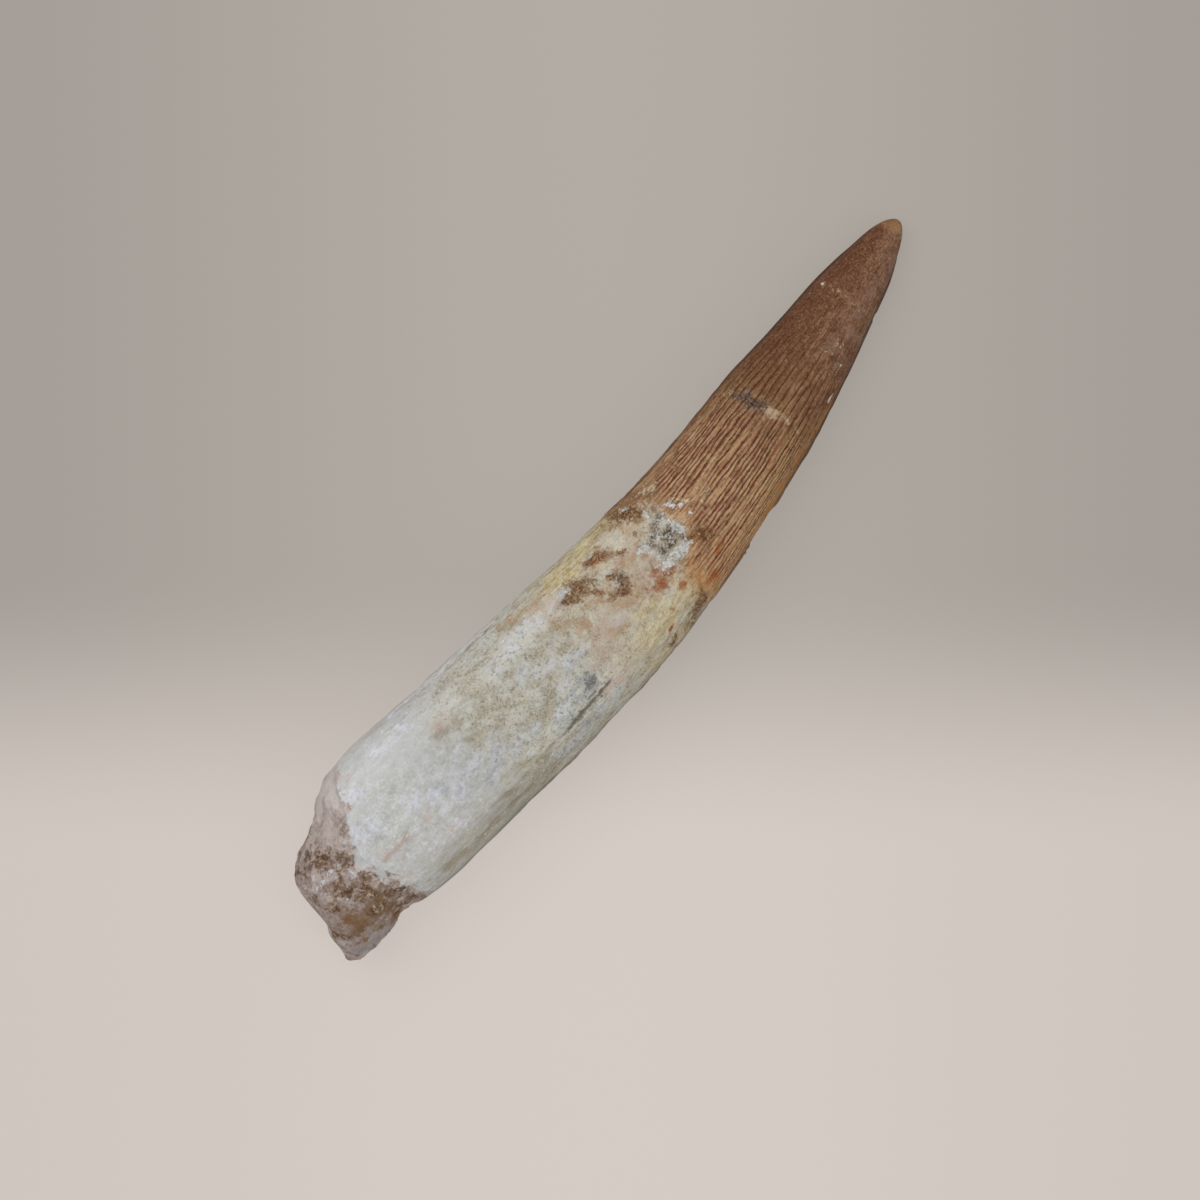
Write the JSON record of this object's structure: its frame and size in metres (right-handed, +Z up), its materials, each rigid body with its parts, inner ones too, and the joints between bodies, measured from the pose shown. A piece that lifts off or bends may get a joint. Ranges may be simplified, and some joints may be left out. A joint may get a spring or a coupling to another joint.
{
  "type": "fossil spinosaurus tooth",
  "caption": "Long, gently curved fossil dinosaur tooth lying on its side: a fluted brown crown on a pale rooted shaft, with matrix still cemented to the broken root end.",
  "frame": {"origin": "on the surface that the fossil rests on, under the middle of its footprint", "axes": "+X towards the crown's tip, +Y towards the hollow side of the tooth's bend, +Z up"},
  "size_m": [0.1208, 0.0276, 0.0172],
  "materials": {
    "tooth": "satin",
    "matrix": "matte"
  },
  "bodies": {
    "root": {"tooth": "tooth", "matrix": "matrix"}
  },
  "joints": []
}
